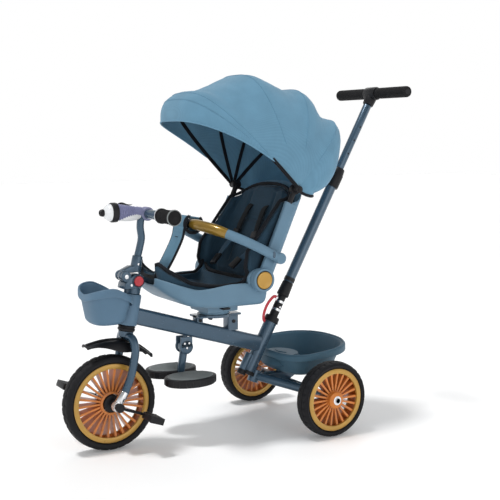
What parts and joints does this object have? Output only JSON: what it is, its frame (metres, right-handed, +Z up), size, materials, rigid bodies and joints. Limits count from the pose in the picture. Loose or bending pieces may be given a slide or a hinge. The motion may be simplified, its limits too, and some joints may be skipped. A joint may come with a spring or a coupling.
{
  "type": "children's tricycle",
  "caption": "Push tricycle for a small child: steered pedal wheel, swivelling reclining seat with guard rail, folding canopy, footrest, two baskets and telescopic push pole.",
  "frame": {"origin": "middle of the footprint's bounding box, on the ground", "axes": "+Z up, the tricycle faces -Y, +X is the rider's left and runs along the wheel axles"},
  "size_m": [0.496, 1.0337, 1.0139],
  "materials": {
    "basket": "satin",
    "black": "satin",
    "canopy": "matte woven",
    "chrome": "polished",
    "clear": "gloss",
    "gold": "gloss",
    "lilac": "satin",
    "navy": "matte woven",
    "orange": "satin",
    "red": "gloss",
    "rubber": "matte",
    "shell": "satin",
    "slate": "gloss",
    "strap": "matte webbing",
    "tyre": "matte"
  },
  "bodies": {
    "frame": {"head_tube": "slate", "headset_cup": "black", "main_beam": "slate", "pole_socket": "slate", "socket_cap": "black", "rear_fork": "slate", "rear_axle": "chrome", "rear_basket": "basket", "front_basket": "basket", "seat_pedestal": "slate", "footrest_bracket": "slate", "pole_root": "black", "pole_lower": "slate", "pole_clamp": "black"},
    "steering": {"fork": "slate", "mudguard": "black", "fold_bracket": "slate"},
    "front_wheel": {"front_tyre": "tyre", "front_rim": "orange", "crankset": "chrome"},
    "left_pedal": {"pedal_left": "black"},
    "right_pedal": {"pedal_right": "black"},
    "handlebars": {"stem": "slate", "handlebar": "slate", "grip_left": "black", "grip_right": "black", "headlamp_body": "lilac", "headlamp_lens": "clear"},
    "fold_release": {"fold_button": "red"},
    "left_wheel": {"rear_left_tyre": "tyre", "rear_left_rim": "orange", "rear_left_hub_cap": "black"},
    "right_wheel": {"rear_right_tyre": "tyre", "rear_right_rim": "orange", "rear_right_hub_cap": "black"},
    "seat": {"seat_shell": "shell", "seat_pad": "navy", "swivel_plate": "shell"},
    "swivel_release": {"swivel_lever": "black"},
    "backrest": {"back_shell": "shell", "back_pad": "navy", "canopy_bow_4": "black", "canopy_rear": "canopy"},
    "left_recline_button": {"hinge_button_left": "gold"},
    "right_recline_button": {"hinge_button_right": "gold"},
    "guard": {"guard_rail": "shell", "crotch_strap": "strap"},
    "canopy_hoop_3": {"canopy_bow_3": "black", "canopy_panel_3": "canopy"},
    "canopy_hoop_2": {"canopy_bow_2": "black", "canopy_panel_2": "canopy"},
    "canopy_hoop_1": {"canopy_bow_1": "black", "canopy_panel_1": "canopy", "canopy_visor": "canopy"},
    "push_pole": {"pole_upper": "slate", "push_handle": "black", "push_grip_left": "rubber", "push_grip_right": "rubber"},
    "pole_release": {"pole_lever": "red"},
    "footrests": {"footrest": "black"}
  },
  "joints": [
    {"name": "steer", "type": "hinge", "parent": "frame", "child": "steering", "pos_m": [0, -0.334, 0.325], "axis": [0, 0.1805, 0.9836], "range_deg": [-35, 35]},
    {"name": "front_wheel_spin", "type": "hinge", "parent": "steering", "child": "front_wheel", "pos_m": [0, -0.387, 0.13], "axis": [1, 0, 0], "continuous": true},
    {"name": "left_pedal_spin", "type": "hinge", "parent": "front_wheel", "child": "left_pedal", "pos_m": [0.11, -0.309, 0.1], "axis": [1, 0, 0], "continuous": true},
    {"name": "right_pedal_spin", "type": "hinge", "parent": "front_wheel", "child": "right_pedal", "pos_m": [-0.11, -0.465, 0.16], "axis": [1, 0, 0], "continuous": true},
    {"name": "handlebar_fold", "type": "hinge", "parent": "steering", "child": "handlebars", "pos_m": [0, -0.341, 0.47], "axis": [1, 0, 0], "range_deg": [0, 45]},
    {"name": "fold_button_press", "type": "slide", "parent": "steering", "child": "fold_release", "axis": [-1, 0, 0], "range_m": [0, 0.004], "stiffness_N_per_m": 300},
    {"name": "left_wheel_spin", "type": "hinge", "parent": "frame", "child": "left_wheel", "pos_m": [0.215, 0.195, 0.107], "axis": [1, 0, 0], "continuous": true},
    {"name": "right_wheel_spin", "type": "hinge", "parent": "frame", "child": "right_wheel", "pos_m": [-0.215, 0.195, 0.107], "axis": [1, 0, 0], "continuous": true},
    {"name": "seat_swivel", "type": "hinge", "parent": "frame", "child": "seat", "pos_m": [0, -0.063, 0.344], "axis": [0, 0, 1], "range_deg": [0, 90]},
    {"name": "swivel_lever_pull", "type": "slide", "parent": "seat", "child": "swivel_release", "axis": [1, 0, 0], "range_m": [0, 0.005], "stiffness_N_per_m": 300},
    {"name": "backrest_recline", "type": "hinge", "parent": "seat", "child": "backrest", "pos_m": [0, 0, 0.453], "axis": [-1, 0, 0], "range_deg": [0, 6], "deforming": ["canopy_rear"]},
    {"name": "left_recline_press", "type": "slide", "parent": "backrest", "child": "left_recline_button", "axis": [-1, 0, 0], "range_m": [0, 0.003], "stiffness_N_per_m": 400},
    {"name": "right_recline_press", "type": "slide", "parent": "backrest", "child": "right_recline_button", "axis": [1, 0, 0], "range_m": [0, 0.003], "stiffness_N_per_m": 400},
    {"name": "guard_lift", "type": "hinge", "parent": "backrest", "child": "guard", "pos_m": [0, 0.041, 0.512], "axis": [-1, 0, 0], "range_deg": [0, 45]},
    {"name": "canopy_fold_3", "type": "hinge", "parent": "backrest", "child": "canopy_hoop_3", "pos_m": [0, 0.105, 0.697], "axis": [-1, 0, 0], "range_deg": [0, 24], "deforming": ["canopy_panel_3"]},
    {"name": "canopy_fold_2", "type": "hinge", "parent": "canopy_hoop_3", "child": "canopy_hoop_2", "pos_m": [0, 0.105, 0.697], "axis": [-1, 0, 0], "range_deg": [0, 24], "deforming": ["canopy_panel_2"]},
    {"name": "canopy_fold_1", "type": "hinge", "parent": "canopy_hoop_2", "child": "canopy_hoop_1", "pos_m": [0, 0.105, 0.697], "axis": [-1, 0, 0], "range_deg": [0, 24], "deforming": ["canopy_panel_1"]},
    {"name": "push_pole_slide", "type": "slide", "parent": "frame", "child": "push_pole", "axis": [0, -0.4817, -0.8763], "range_m": [0, 0.16]},
    {"name": "pole_release_press", "type": "slide", "parent": "frame", "child": "pole_release", "axis": [0, -1, 0], "range_m": [0, 0.003], "stiffness_N_per_m": 300},
    {"name": "footrest_fold", "type": "hinge", "parent": "frame", "child": "footrests", "pos_m": [0, -0.159, 0.257], "axis": [1, 0, 0], "range_deg": [0, 45]}
  ],
  "couplings": [
    {"joint": "canopy_fold_2", "follows": "canopy_fold_3", "ratio": 1},
    {"joint": "canopy_fold_1", "follows": "canopy_fold_3", "ratio": 1}
  ]
}
